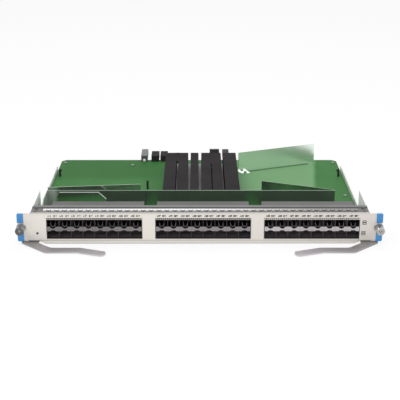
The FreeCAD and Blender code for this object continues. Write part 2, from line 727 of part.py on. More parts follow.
def make_levers():
    """Flat bent lever, its rivet and the bracket above it, on each side."""
    rise = "tan(lever_angle)"
    shift = "lever_wide / 2 * tan(lever_angle / 2)"
    shift2 = "lever_wide / 2 * tan(tip_angle / 2)"
    front = "-lever_reach - lever_wide / 2"
    back = "-lever_reach + lever_wide / 2"
    tip_x = "-lever_bend2_x + tip_long * cos(tip_angle)"
    tip_y = "-lever_reach - tip_long * sin(tip_angle)"
    boss_side = "-pivot_x + boss_half"
    outline = [
        ("-heel_x", "%s + (heel_x - lever_bend_x - %s) * %s" % (front, shift, rise)),
        ("-lever_bend_x - " + shift, front),
        ("-lever_bend2_x - " + shift2, front),
        (tip_x + " - lever_wide / 2 * sin(tip_angle)", tip_y + " - lever_wide / 2 * cos(tip_angle)"),
        (tip_x + " + lever_wide / 2 * sin(tip_angle)", tip_y + " + lever_wide / 2 * cos(tip_angle)"),
        ("-lever_bend2_x + " + shift2, back),
        ("-lever_bend_x + " + shift, back),
        (boss_side, "%s + (pivot_x - boss_half - lever_bend_x + %s) * %s" % (back, shift, rise)),
        (boss_side, "pivot_y + boss_back"),
        ("-pivot_x - boss_back", "pivot_y + boss_back"),
        ("-heel_x", "pivot_y + heel_tall"),
    ]
    lever = new_body("ejector_lever")
    pad(lever, "XY", "lever_low", "lever_sheet", [outline])
    bend_x = -size("lever_bend_x")
    bend2_x = -size("lever_bend2_x")
    wide = size("lever_wide")

    def at_bend(edge):
        near = min(abs(edge.BoundBox.Center.x - bend_x), abs(edge.BoundBox.Center.x - bend2_x))
        return upright(edge) and near < wide / 2

    def at_tip(edge):
        return upright(edge) and edge.BoundBox.Center.x > bend2_x + wide

    def at_boss(edge):
        return upright(edge) and edge.BoundBox.Center.y > size("pivot_y")

    round_edges(lever, "bend_round", at_bend)
    round_edges(lever, "tip_round", at_tip)
    round_edges(lever, "boss_round", at_boss)
    bore = [("-pivot_x", "pivot_y", "pivot_r + pin_gap")]
    pocket(lever, "XY", "lever_low - 1", "lever_sheet + 2", [], bore)
    node(lever, "ejector_lever_left")
    mirrored(lever, "ejector_lever_right")

    under = "lever_low + lever_sheet + bracket_gap"
    over = under + " + bracket_sheet"
    rivet = new_body("rivet")
    feature = rivet.newObject("PartDesign::Revolution", "rivet_turn")
    feature.Profile = sketch(rivet, "XZ", "0", [[
        ("0", "0"),
        ("rivet_head_r", "0"),
        ("rivet_head_r", "rivet_head"),
        ("pivot_r", "rivet_head"),
        ("pivot_r", under),
        ("rivet_neck_r", under),
        ("rivet_neck_r", over),
        ("rivet_top_r", over),
        ("rivet_top_r - 0.5", over + " + rivet_top"),
        ("0", over + " + rivet_top"),
    ]])
    feature.ReferenceAxis = (feature.Profile[0], ["V_Axis"])
    feature.Angle = 360
    rivet.Tip = feature
    place(rivet, "-pivot_x", "pivot_y")
    group("lever_pins", [rivet, twin_of(rivet, "rivet_twin")])

    bracket = new_body("bracket")
    profile = [
        ("panel_thick", under),
        ("bracket_back", under),
        ("bracket_back", over),
        ("panel_thick + bracket_sheet", over),
        ("panel_thick + bracket_sheet", "bracket_lip"),
        ("panel_thick", "bracket_lip"),
    ]
    pad(bracket, "YZ", "-bracket_outer", "bracket_outer - bracket_inner", [profile])
    pocket(bracket, "XY", "0", "bracket_lip", [], [("-pivot_x", "pivot_y", "rivet_neck_r")])
    lens_hole = [("-lens_x", "lens_z", "lens_r + screw_gap")]
    pocket(bracket, "XZ", "0", "bracket_back / 2", [], lens_hole)
    node(bracket, "lever_bracket_left")
    mirrored(bracket, "lever_bracket_right")


def make_ports():
    """One group of stacked ports in its place in the middle, and its two copies."""
    board_top = "board_low + board_thick"
    left = "group_centre - window_wide / 2 + cage_gap"
    wide = "window_wide - 2 * cage_gap"
    deep = "cage_back - cage_front"
    inner = rectangle(left + " + cage_sheet", left + " + %s - cage_sheet" % wide, board_top + " - 1",
                      "cage_top - cage_sheet")

    cage = new_body("port_cage")
    pad(cage, "XZ", "cage_front", deep, [rectangle(left, left + " + " + wide, board_top, "cage_top")])
    pocket(cage, "XZ", "cage_front - 1", deep + " + 1 - cage_sheet", [inner])
    floor = new_body("port_floor")
    floor_plan = rectangle(left + " + cage_sheet", left + " + %s - cage_sheet" % wide, "cage_front",
                           "cage_back - cage_sheet")
    pad(floor, "XY", board_top, "cage_sheet", [floor_plan])

    first = "group_centre - ports_per_row / 2 * port_pitch"
    columns = int(size("ports_per_row"))
    floor_top = board_top + " + cage_sheet"
    plates = []
    for i in range(1, columns):
        plates.append(box("divider_plate", first + " + %d * port_pitch - cage_sheet / 2" % i, "divider_front",
                          floor_top, "cage_sheet", "divider_back - divider_front",
                          "cage_top - cage_sheet - (%s)" % floor_top))
    dividers = doc.addObject("Part::Compound", "port_dividers")
    dividers.Links = plates

    unit = new_body("separator_unit")
    middle = first + " + port_pitch / 2"
    half_unit = "(port_pitch / 2 - fit_gap)"
    half_gap = "band_gap_wide / 2"
    outline = [
        (middle + " - " + half_unit, "band_low"),
        (middle + " - " + half_gap, "band_low"),
        (middle + " - %s + 0.8" % half_gap, "band_notch"),
        (middle + " + %s - 0.8" % half_gap, "band_notch"),
        (middle + " + " + half_gap, "band_low"),
        (middle + " + " + half_unit, "band_low"),
        (middle + " + " + half_unit, "band_high"),
        (middle + " + " + half_gap, "band_high"),
        (middle + " + " + half_gap, "band_slot"),
        (middle + " - " + half_gap, "band_slot"),
        (middle + " - " + half_gap, "band_high"),
        (middle + " - " + half_unit, "band_high"),
    ]
    pad(unit, "XZ", "band_front", "divider_front - band_front", [outline])
    rail_half = "(port_pitch / 2 - cage_sheet / 2 - fit_gap)"
    rail = rectangle(middle + " - " + rail_half, middle + " + " + rail_half, "band_notch", "band_slot")
    pad(unit, "XZ", "divider_front", "separator_back - divider_front", [rail])
    units = [moved(unit, "separator_at", "%d * port_pitch" % i) for i in range(1, columns)]
    separator = doc.addObject("Part::Compound", "port_separator")
    separator.Links = [unit] + units

    block = new_body("receptacle_unit")
    block_left = middle + " - receptacle_wide / 2"
    face = rectangle(block_left, block_left + " + receptacle_wide", floor_top, "cage_top - 2 * cage_sheet")
    pad(block, "XZ", "receptacle_front", "cage_back - cage_sheet - receptacle_front", [face])
    slot_left = middle + " - receptacle_slot_wide / 2"
    for slot_middle in ("(%s) / 2 + band_low / 2" % floor_top, "band_high / 2 + cage_top / 2 - cage_sheet"):
        low = "%s - receptacle_slot_tall / 2" % slot_middle
        slot = rectangle(slot_left, slot_left + " + receptacle_slot_wide", low,
                         low + " + receptacle_slot_tall")
        pocket(block, "XZ", "receptacle_front", "receptacle_slot_deep", [slot])
    blocks = [moved(block, "receptacle_at", "%d * port_pitch" % i) for i in range(1, columns)]
    receptacles = doc.addObject("Part::Compound", "port_connectors")
    receptacles.Links = [block] + blocks

    springs = new_body("port_springs")
    tooth = [
        ("cage_front", "cage_top"),
        ("cage_front", "cage_top + spring_sheet"),
        ("cage_front + spring_long / 4", "cage_top + spring_rise"),
        ("cage_front + spring_long / 2", "cage_top + spring_rise"),
        ("cage_front + spring_long", "cage_top + spring_sheet"),
        ("cage_front + spring_long + spring_root", "cage_top + spring_sheet"),
        ("cage_front + spring_long + spring_root", "cage_top"),
    ]
    pad(springs, "YZ", left, wide, [tooth])
    gap_left = "group_centre - (spring_count - 1) / 2 * spring_pitch - spring_gap / 2"
    gap = rectangle(gap_left, gap_left + " + spring_gap", "cage_front - 1", "cage_front + spring_long")
    cut = pocket(springs, "XY", "cage_top", "spring_rise + 1", [gap])
    row_of(springs, cut, "spring_count", "spring_pitch")

    pieces = [(cage, "port_cage"), (floor, "port_floor"), (dividers, "port_dividers"),
              (separator, "port_separator"), (receptacles, "port_connectors"), (springs, "port_springs")]
    for piece, label in pieces:
        node(piece, label + "_centre")
        node(moved(piece, label + "_l", "-group_pitch"), label + "_left")
        node(moved(piece, label + "_r", "group_pitch"), label + "_right")


def make_tray():
    """Folded tray: floor with cut front corners, a front lip and two side walls."""
    right = [
        ("tray_front_half", "panel_thick"),
        ("tray_front_half", "tray_corner_back"),
        ("tray_half", "tray_corner_back"),
        ("tray_half", "wall_back"),
        ("tray_half - tray_sheet", "wall_back"),
        ("tray_half - tray_sheet", "tray_back"),
    ]
    body = new_body("tray")
    pad(body, "XY", "0", "tray_sheet", [both_sides(right)])
    for left in ("-tray_half", "tray_half - tray_sheet"):
        wall = rectangle("tray_corner_back", "wall_back", "0", "tray_wall")
        pad(body, "YZ", left, "tray_sheet", [wall])
    lip = rectangle("-tray_front_half", "tray_front_half", "0", "window_bottom - 0.2")
    pad(body, "XZ", "panel_thick", "tray_sheet", [lip])
    node(body, "base_tray")


def make_board():
    """Circuit board with corner cuts, slots and screw holes, its standoffs and its screws."""
    right = [
        ("board_front_half", "board_front"),
        ("board_front_half", "tray_corner_back"),
        ("board_half", "tray_corner_back"),
        ("board_half", "board_back - board_corner"),
        ("board_half - board_corner", "board_back"),
    ]
    half = "board_slot_wide / 2"
    slots = []
    for middle, front, back in (("-side_slot_x", "side_slot_front", "side_slot_back"),
                                ("side_slot_x", "side_slot_front", "side_slot_back"),
                                ("-mid_slot_x", "mid_slot_front", "mid_slot_back")):
        slots.append(rectangle("%s - %s" % (middle, half), "%s + %s" % (middle, half), front, back))
    holes = [(str(x), str(y), "board_hole_r + screw_gap") for x, y in SCREW_SPOTS]
    body = new_body("board")
    pad(body, "XY", "board_low", "board_thick", [both_sides(right)] + slots, holes)
    node(body, "circuit_board")

    posts = []
    for x, y in SCREW_SPOTS:
        post = doc.addObject("Part::Cylinder", "standoff")
        bind(post, Radius="standoff_r", Height="board_low - tray_sheet")
        place(post, str(x), str(y), "tray_sheet")
        posts.append(post)
    group("board_standoffs", posts)


def make_board_screws():
    """Screws into the standoffs, and the one in the tab of the rear baffle."""
    top = "board_low + board_thick"
    screws = []
    for x, y in SCREW_SPOTS:
        screws.append(screw("board_screw", str(x), str(y), top, "board_screw_r", "board_screw_tall",
                            "board_hole_r", "board_thick"))
    turn = "atan2(rear_baffle_y2 - rear_baffle_y1; rear_baffle_x2 - rear_baffle_x1)"
    along = "(tab_long / 2 + 1)"
    ahead = "(tab_deep / 2 + 1)"
    x = "rear_baffle_x1 + {0} * cos({2}) + {1} * sin({2})".format(along, ahead, turn)
    y = "rear_baffle_y1 + {0} * sin({2}) - {1} * cos({2})".format(along, ahead, turn)
    screws.append(screw("tab_screw", x, y, top + " + baffle_sheet", "tab_screw_r", "board_screw_tall",
                        "board_hole_r", "baffle_sheet"))
    group("board_screws", screws)


def make_side_plates():
    """Upright plates behind the flange's ends, each with a foot on the board."""
    top = "board_low + board_thick"
    body = new_body("side_plate")
    foot_out = "-plate_x - plate_sheet"
    profile = [
        (foot_out, top),
        ("-plate_x + plate_foot", top),
        ("-plate_x + plate_foot", top + " + plate_sheet"),
        ("-plate_x", top + " + plate_sheet"),
        ("-plate_x", "panel_height"),
        (foot_out, "panel_height"),
    ]
    pad(body, "XZ", "plate_front", "plate_back - plate_front", [profile])
    node(body, "side_plate_left")
    mirrored(body, "side_plate_right")


def make_front_baffle():
    """Wall across the board with an opening at the left, a return at its left end and a foot."""
    foot = "board_low + board_thick"
    body = new_body("front_wall")
    wall = [
        ("front_baffle_left", foot),
        ("opening_left_low", foot),
        ("opening_left_low", "opening_left_turn"),
        ("opening_left_top", "opening_top"),
        ("opening_right_top", "opening_top"),
        ("opening_right_low", "opening_right_turn"),
        ("opening_right_low", foot),
        ("front_baffle_right", foot),
        ("front_baffle_right", "baffle_top"),
        ("front_baffle_left", "baffle_top"),
    ]
    pad(body, "XZ", "front_baffle_y", "baffle_sheet", [wall])
    side = [
        ("front_return", foot),
        ("front_baffle_y", foot),
        ("front_baffle_y", "baffle_top"),
        ("front_return + 8", "baffle_top"),
        ("front_return", "baffle_top - 8"),
    ]
    pad(body, "YZ", "front_baffle_left", "baffle_sheet", [side])
    base = rectangle("opening_right_low", "front_foot_right", "front_baffle_y + baffle_sheet",
                     "front_baffle_y + baffle_foot")
    pad(body, "XY", foot, "baffle_sheet", [base])
    node(body, "front_baffle")


def make_slanted_baffle(name, top, tab=False):
    """Upright wall with a foot behind it, from its left end to its right end in plan."""
    foot = "board_low + board_thick"
    run_x = "({0}_x2 - {0}_x1)".format(name)
    run_y = "({0}_y2 - {0}_y1)".format(name)
    length = "sqrt(%s * %s + %s * %s)" % (run_x, run_x, run_y, run_y)
    body = new_body(name + "_body")
    profile = [
        ("0", foot),
        ("baffle_foot", foot),
        ("baffle_foot", foot + " + baffle_sheet"),
        ("baffle_sheet", foot + " + baffle_sheet"),
        ("baffle_sheet", top),
        ("0", top),
    ]
    pad(body, "YZ", "0", length, [profile])
    if tab:
        plan = [
            ("0", "0"),
            ("2", "-tab_deep + 3"),
            ("5", "-tab_deep"),
            ("tab_long", "-tab_deep"),
            ("tab_long", "0"),
        ]
        hole = [("tab_long / 2 + 1", "-tab_deep / 2 - 1", "board_hole_r + screw_gap")]
        pad(body, "XY", foot, "baffle_sheet", [plan], hole)
    place(body, name + "_x1", name + "_y1")
    body.Placement.Rotation = FreeCAD.Rotation(FreeCAD.Vector(0, 0, 1), 1)
    bind(body, Placement__Rotation__Angle="atan2(%s; %s)" % (run_y, run_x))
    return body


def make_baffles():
    """The three slanted baffles; the rear one has a tab for a screw."""
    left = make_slanted_baffle("left_baffle", "baffle_top")
    node(left, "left_baffle")
    right = make_slanted_baffle("right_baffle", "baffle_top")
    node(right, "right_baffle")
    rear = make_slanted_baffle("rear_baffle", "rear_baffle_top", tab=True)
    node(rear, "rear_baffle")


def make_heat_sink():
    """Chips on the board, a base plate on them and the black bars on the base."""
    board_top = "board_low + board_thick"
    base_low = board_top + " + chip_tall"
    bar_low = base_low + " + sink_base"
    middle = "(sink_left + sink_right) / 2"
    chips = []
    for i in range(3):
        front = "chip_front + %d * chip_pitch - chip_side / 2" % i
        chips.append(box("chip", middle + " - chip_side / 2", front, board_top, "chip_side", "chip_side",
                         "chip_tall"))
    group("switch_chips", chips)
    node(box("sink_base", "sink_left", "sink_front", base_low, "sink_right - sink_left",
             "sink_back - sink_front", "sink_base"), "heat_sink_base")
    for i, (left, right) in enumerate(BAR_EDGES, start=1):
        bar = new_body("bar")
        face = rectangle(str(left), str(right), bar_low, "bar_top")
        pad(bar, "XZ", "bar_front", "bar_back - bar_front", [face])
        node(bar, "heat_sink_bar_%d" % i)


def make_rear_connectors():
    """Power and signal connectors and the guide blocks along the board's rear edge."""
    board_top = "board_low + board_thick"
    for left, right, label in (("power_left", "power_mid", "power_connector_left"),
                               ("power_mid2", "power_right", "power_connector_right")):
        body = new_body("power")
        face = rectangle(left, right, board_top, "power_top")
        pad(body, "XZ", "power_front", "power_back - power_front", [face])
        step = "(%s - %s) / (power_slot_count + 1)" % (right, left)
        slot_left = "%s + %s - power_slot_wide / 2" % (left, step)
        slot = rectangle(slot_left, slot_left + " + power_slot_wide", board_top + " + 1.5", "power_top - 1.5")
        cut = pocket(body, "XZ", "power_back - power_slot_deep", "power_slot_deep + 1", [slot])
        row_of(body, cut, "power_slot_count", "(%s)" % step)
        node(body, label)

    signal = new_body("signal")
    pad(signal, "XZ", "signal_front", "signal_back - signal_front",
        [rectangle("signal_left", "signal_right", board_top, "signal_top")])
    step = "(signal_right - signal_left) / (signal_slot_count + 1)"
    slot_left = "signal_left + %s - signal_slot_wide / 2" % step
    slot = rectangle(slot_left, slot_left + " + signal_slot_wide", "signal_top - signal_slot_deep",
                     "signal_top + 1")
    cut = pocket(signal, "XZ", "signal_front - 1", "signal_back - signal_front + 2", [slot])
    row_of(signal, cut, "signal_slot_count", "(%s)" % step)
    node(signal, "signal_connector")

    for middle, label in (("guide_left_x", "guide_block_left"), ("guide_right_x", "guide_block_right")):
        guide = new_body("guide")
        side = [
            ("guide_front", board_top),
            ("guide_back", board_top),
            ("guide_back", "guide_top - guide_nose"),
            ("guide_back - guide_nose", "guide_top"),
            ("guide_front", "guide_top"),
        ]
        pad(guide, "YZ", middle + " - guide_wide / 2", "guide_wide", [side])
        bore = [(middle, "(%s + guide_top) / 2" % board_top, "guide_bore_r")]
        pocket(guide, "XZ", "guide_back - guide_bore_deep", "guide_bore_deep + 1", [], bore)
        node(guide, label)


def check_and_write():
    """Refuses a failed or open shape, then writes one file for each node."""
    doc.recompute()
    for obj in doc.Objects:
        if "Invalid" in obj.State or "Error" in obj.State:
            raise RuntimeError("failed object: %s %s" % (obj.Label, obj.State))
    for obj in nodes:
        if obj.Shape.isNull() or not obj.Shape.isValid() or not obj.Shape.Solids:
            raise RuntimeError("bad shape: " + obj.Label)
    os.makedirs("parts", exist_ok=True)
    for obj in nodes:
        obj.Shape.exportStep("parts/%s.step" % obj.Label)
    print("nodes written:", len(nodes))


fill_sheet()
make_panel()
make_end_caps()
make_status_lens()
make_flange()
make_flange_screws()
make_finger_strip()
make_screw_hardware()
make_levers()
make_ports()
make_tray()
make_board()
make_board_screws()
make_side_plates()
make_front_baffle()
make_baffles()
make_heat_sink()
make_rear_connectors()
check_and_write()
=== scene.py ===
"""Switch line card: finishes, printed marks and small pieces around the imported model.

Metres, in the model's own frame: X right, Y backwards from the panel's front face, Z up.
"""
import json
import math
import bpy
import numpy as np
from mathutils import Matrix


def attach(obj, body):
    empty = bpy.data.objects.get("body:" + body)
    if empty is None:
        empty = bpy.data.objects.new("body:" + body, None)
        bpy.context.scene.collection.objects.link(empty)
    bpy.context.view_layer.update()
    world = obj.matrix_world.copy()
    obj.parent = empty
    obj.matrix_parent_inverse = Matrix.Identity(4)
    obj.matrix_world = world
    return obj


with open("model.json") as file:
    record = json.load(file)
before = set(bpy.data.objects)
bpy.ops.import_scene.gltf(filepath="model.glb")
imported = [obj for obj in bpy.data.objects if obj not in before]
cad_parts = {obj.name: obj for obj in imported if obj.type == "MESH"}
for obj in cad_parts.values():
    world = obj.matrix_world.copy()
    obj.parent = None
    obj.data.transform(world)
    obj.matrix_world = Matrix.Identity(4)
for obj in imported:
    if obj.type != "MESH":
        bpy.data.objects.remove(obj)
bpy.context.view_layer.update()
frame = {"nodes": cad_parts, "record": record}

MM = 0.001

# Sizes of the model in millimetres: the ports' columns and groups, the tops of board and bars.
PORT_PITCH = 14.25
PORT_COLUMNS = 8
GROUP_PITCH = 131.05
GROUP_CENTRE = 3.8
BOARD_TOP = 6.5
BAR_TOP = 28.9

# Printed ink: a film from just in front of the panel's front face to just behind it.
INK_FRONT = -0.03
INK_BACK = 0.01


# Finishes


def tone(red, green, blue):
    """A screen colour of 0 to 255 as the linear colour that a shader takes."""
    screen = np.array([red, green, blue], dtype=float) / 255.0
    linear = np.where(screen <= 0.04045, screen / 12.92, ((screen + 0.055) / 1.055) ** 2.4)
    return (*linear.tolist(), 1.0)


class Finish:
    """A material with one Principled shader, and helpers that chain nodes into it."""

    def __init__(self, name, colour, rough, metal=0.0):
        self.material = bpy.data.materials.new(name)
        self.material.use_nodes = True
        self.tree = self.material.node_tree
        self.tree.nodes.clear()
        self.shader = self.add("ShaderNodeBsdfPrincipled")
        out = self.add("ShaderNodeOutputMaterial")
        self.link(self.shader.outputs["BSDF"], out.inputs["Surface"])
        self.shader.inputs["Base Color"].default_value = colour
        self.shader.inputs["Roughness"].default_value = rough
        self.shader.inputs["Metallic"].default_value = metal
        self.place = self.add("ShaderNodeTexCoord").outputs["Object"]
        self.height = None

    def add(self, kind, **values):
        """A new node with its plain settings."""
        node = self.tree.nodes.new(kind)
        for key, value in values.items():
            setattr(node, key, value)
        return node

    def link(self, source, target):
        """Joins two sockets."""
        self.tree.links.new(source, target)

    def noise(self, scale, stretch=(1, 1, 1), detail=3.0, shift=(0, 0, 0)):
        """Smooth noise of about 0 to 1; scale counts features in a metre."""
        mapping = self.add("ShaderNodeMapping")
        mapping.inputs["Scale"].default_value = stretch
        mapping.inputs["Location"].default_value = shift
        self.link(self.place, mapping.inputs["Vector"])
        noise = self.add("ShaderNodeTexNoise")
        noise.inputs["Scale"].default_value = scale
        noise.inputs["Detail"].default_value = detail
        self.link(mapping.outputs["Vector"], noise.inputs["Vector"])
        return noise.outputs["Fac"]

    def ramp(self, value, low, high, start=0.0, end=1.0):
        """Maps low..high of a value to start..end, held at both ends."""
        ranger = self.add("ShaderNodeMapRange")
        ranger.inputs["From Min"].default_value = low
        ranger.inputs["From Max"].default_value = high
        ranger.inputs["To Min"].default_value = start
        ranger.inputs["To Max"].default_value = end
        self.link(value, ranger.inputs["Value"])
        return ranger.outputs["Result"]

    def math(self, kind, first, second):
        """One arithmetic step on two sockets or numbers."""
        node = self.add("ShaderNodeMath", operation=kind)
        for socket, value in zip(node.inputs, (first, second)):
            if isinstance(value, (int, float)):
                socket.default_value = value
            else:
                self.link(value, socket)
        return node.outputs["Value"]

    def axis(self, letter):
        """One coordinate of the point, in metres."""
        parts = self.add("ShaderNodeSeparateXYZ")
        self.link(self.place, parts.inputs["Vector"])
        return parts.outputs[letter]

    def tint(self, mask, colour):
        """Lays another colour over the base colour where the mask is 1."""
        mix = self.add("ShaderNodeMix", data_type="RGBA")
        base = self.shader.inputs["Base Color"]
        sockets = {socket.identifier: socket for socket in mix.inputs}
        if base.is_linked:
            self.link(base.links[0].from_socket, sockets["A_Color"])
        else:
            sockets["A_Color"].default_value = base.default_value
        sockets["B_Color"].default_value = colour
        self.link(mask, sockets["Factor_Float"])
        result = [socket for socket in mix.outputs if socket.identifier == "Result_Color"][0]
        self.link(result, base)

    def between(self, letter, low, high, soft=0.4):
        """A mask: 1 where a coordinate lies between two places in millimetres, with soft ends."""
        place = self.axis(letter) if isinstance(letter, str) else letter
        rise = self.ramp(place, (low - soft) * MM, (low + soft) * MM)
        fall = self.ramp(place, (high - soft) * MM, (high + soft) * MM, 1.0, 0.0)
        return self.math("MULTIPLY", rise, fall)

    def both(self, first, second):
        """A mask that is 1 where two masks meet."""
        return self.math("MULTIPLY", first, second)

    def slant(self, x_share, letter, share):
        """A coordinate across a slanting line: a share of X plus a share of another axis."""
        return self.math("ADD", self.math("MULTIPLY", self.axis("X"), x_share),
                         self.math("MULTIPLY", self.axis(letter), share))

    def wave(self, kind, value, turn):
        """The sine or cosine of a value times a number of radians."""
        return self.math(kind, self.math("MULTIPLY", value, turn), 0.0)

    def part(self, mask, share):
        """A weaker mask."""
        return self.math("MULTIPLY", mask, share)

    def dull(self, specular):
        """Sets how much the surface mirrors."""
        self.shader.inputs["Specular IOR Level"].default_value = specular
        return self

    def roughen(self, value, low, high):
        """Lets roughness follow a 0..1 value between two levels."""
        self.link(self.ramp(value, 0.0, 1.0, low, high), self.shader.inputs["Roughness"])

    def relief(self, value, depth):
        """Adds a bump of the given depth in metres."""
        bump = self.add("ShaderNodeBump")
        bump.inputs["Strength"].default_value = 1.0
        bump.inputs["Distance"].default_value = depth
        self.link(value, bump.inputs["Height"])
        if self.height is not None:
            self.link(self.height, bump.inputs["Normal"])
        self.height = bump.outputs["Normal"]
        self.link(self.height, self.shader.inputs["Normal"])


def painted(name, colour, rough=0.42):
    """Powder coat: a fine orange-peel grain and faint dust."""
    finish = Finish(name, colour, rough)
    grain = finish.noise(1400.0, detail=2.0)
    cloud = finish.noise(18.0, detail=4.0)
    finish.relief(grain, 0.00004)
    finish.roughen(cloud, rough - 0.06, rough + 0.1)
    shade = tuple(0.93 * c for c in colour[:3]) + (1.0,)
    finish.tint(finish.ramp(cloud, 0.45, 0.75, 0.0, 0.6), shade)
    return finish


def rolled(name, colour, rough=0.3, grain=(1, 14, 14), depth=0.000006, metal=1.0):
    """Rolled or plated sheet: long faint streaks and soft patches."""
    finish = Finish(name, colour, rough, metal)
    streak = finish.noise(260.0, stretch=grain, detail=4.0)
    cloud = finish.noise(24.0, detail=3.0)
    finish.relief(streak, depth)
    mixed = finish.math("ADD", finish.part(streak, 0.5), finish.part(cloud, 0.5))
    finish.roughen(mixed, rough * 0.7, rough * 1.4)
    shade = tuple(0.86 * c for c in colour[:3]) + (1.0,)
    finish.tint(finish.ramp(cloud, 0.4, 0.7, 0.0, 0.7), shade)
    return finish


def moulded(name, colour, rough=0.4, grain=900.0, depth=0.00002):
    """Moulded plastic: fine spark-eroded grain."""
    finish = Finish(name, colour, rough)
    texture = finish.noise(grain, detail=3.0)
    finish.relief(texture, depth)
    finish.roughen(texture, rough - 0.07, rough + 0.09)
    return finish


def solder_mask(name):
    """Green board: fields of copper tracks in relief under the mask, a paler patch beside the heat
    sink, a painted shadow as a dark line along the foot of the rear baffle and a darker left rear
    corner. A track is where the sine of one coordinate is high, and a field is where slow noise is
    high."""
    track_turn = 4200.0
    track_edge = (0.2, 0.5)
    field_edge = (0.5, 0.54)
    pale_patch_sides, pale_patch_lean, pale_patch_depth = (22, 138.6), -0.108, (97, 314)
    foot_shadow_normal, foot_shadow_band, foot_shadow_ends = (0.3724, -0.9281), (-217.4, -213.9), (61, 162)
    corner_sides, corner_depth = (-210, -60), (230, 330)
    finish = Finish(name, tone(66, 119, 65), 0.5).dull(0.04)
    tracks = []
    for letter, scale, stretch, shift in (("Y", 26.0, (1, 0.35, 1), (0, 0, 0)),
                                          ("X", 22.0, (0.35, 1, 1), (3, 5, 0))):
        lines = finish.wave("SINE", finish.axis(letter), track_turn)
        field = finish.noise(scale, stretch=stretch, detail=1.0, shift=shift)
        tracks.append(finish.both(finish.ramp(lines, *track_edge), finish.ramp(field, *field_edge)))
    copper = finish.math("MAXIMUM", *tracks)
    finish.relief(copper, 0.00002)
    finish.tint(finish.part(copper, 0.25), tone(92, 148, 90))
    finish.tint(finish.ramp(finish.noise(9.0, detail=2.0), 0.4, 0.7, 0.0, 0.3), tone(60, 108, 60))
    # a paler patch beside the heat sink
    side = finish.math("ADD", finish.axis("X"), finish.part(finish.axis("Y"), pale_patch_lean))
    pale_patch = finish.both(finish.between(side, *pale_patch_sides, 3), finish.between("Y", *pale_patch_depth, 3))
    finish.tint(finish.part(pale_patch, 0.85), tone(124, 166, 122))
    # painted shadow: a dark line along the foot of the rear baffle
    across = finish.slant(foot_shadow_normal[0], "Y", foot_shadow_normal[1])
    line = finish.both(finish.between(across, *foot_shadow_band, 0.5), finish.between("X", *foot_shadow_ends, 2))
    finish.tint(line, tone(46, 92, 46))
    corner = finish.both(finish.between("X", *corner_sides, 20),
                         finish.between("Y", *corner_depth, 10))
    finish.tint(finish.part(corner, 0.7), tone(52, 102, 52))
    return finish


def perforated(name, colour, rough):
    """Cage sheet with a field of small round vents drawn in its colour and relief, their dark
    colour
    painted shade inside the holes: a vent is where the cosines of X and Y add up to a high value."""
    vent_pitch = 2.4 * MM
    vent_edge = (1.2, 1.6)
    finish = rolled(name, colour, rough)
    cells = [finish.wave("COSINE", finish.axis(letter), 2 * math.pi / vent_pitch)
             for letter in "XY"]
    mask = finish.ramp(finish.math("ADD", *cells), *vent_edge)
    # painted shade: the vents are dark as the shade inside the holes
    finish.tint(finish.part(mask, 0.6), tone(60, 59, 58))
    finish.relief(mask, -0.0002)
    return finish


def panel_coat(name):
    """Off-white paint, darkened in level bands: painted shadow under the step along the bottom and
    along the lower edge, and darker bands at the bend and the edge at the top. Painted shade makes
    the sheet darker towards the right and dark at the foot beside each lever."""
    level_bands = (
        # painted shadow under the step along the bottom
        (2.9, 4.9, 0.5, 0.34, (120, 116, 114)),  # the step along the bottom
        # painted contact shadow along the lower edge
        (-1.0, 0.9, 0.3, 0.75, (104, 102, 100)),  # the lower edge
        (36.8, 39.0, 0.8, 0.12, (150, 148, 150)),  # the bend at the top
        (38.9, 41.0, 0.3, 0.6, (150, 148, 146)),  # the top edge
    )
    lever_sides, lever_foot = (193, 206), (-1.0, 1.5)
    finish = painted(name, tone(232, 227, 219))
    for low, high, soft, share, colour in level_bands:
        finish.tint(finish.part(finish.between("Z", low, high, soft), share), tone(*colour))
    # painted shade: the sheet darkens towards the right, away from the key light
    finish.tint(finish.ramp(finish.axis("X"), -0.17, 0.15, 0.0, 0.55), tone(212, 206, 200))
    side = finish.math("ABSOLUTE", finish.axis("X"), 0.0)
    # painted shade: dark at the foot beside each lever
    foot = finish.both(finish.between(side, *lever_sides, 0.5),
                       finish.between("Z", *lever_foot, 0.3))
    finish.tint(finish.part(foot, 0.85), tone(40, 38, 38))
    return finish


def folded_flange(name):
    """Grey strip: painted shade darkens its front part, painted light makes it pale between the
    flange's ends under the fingers' slots, and painted shadow darkens the front edge and a line at
    the step behind."""
    finish = rolled(name, tone(126, 126, 125), 0.5, grain=(1, 12, 12), metal=0.5)
    # painted shade over the front part, under the finger strip
    finish.tint(finish.part(finish.between("Y", -2, 18.4), 0.6), tone(106, 104, 103))
    middle = finish.both(finish.between("Y", 5, 16), finish.between("X", -189, 190, 1))
    # painted light: pale where the slots between the fingers show the flange
    finish.tint(middle, tone(160, 159, 158))
    # painted shade along the front edge
    finish.tint(finish.part(finish.between("Y", -2, 4.5), 0.4), tone(84, 82, 82))
    # painted shadow at the step behind
    finish.tint(finish.part(finish.between("Y", 17.4, 20.2, 0.4), 0.8), tone(62, 61, 61))
    return finish


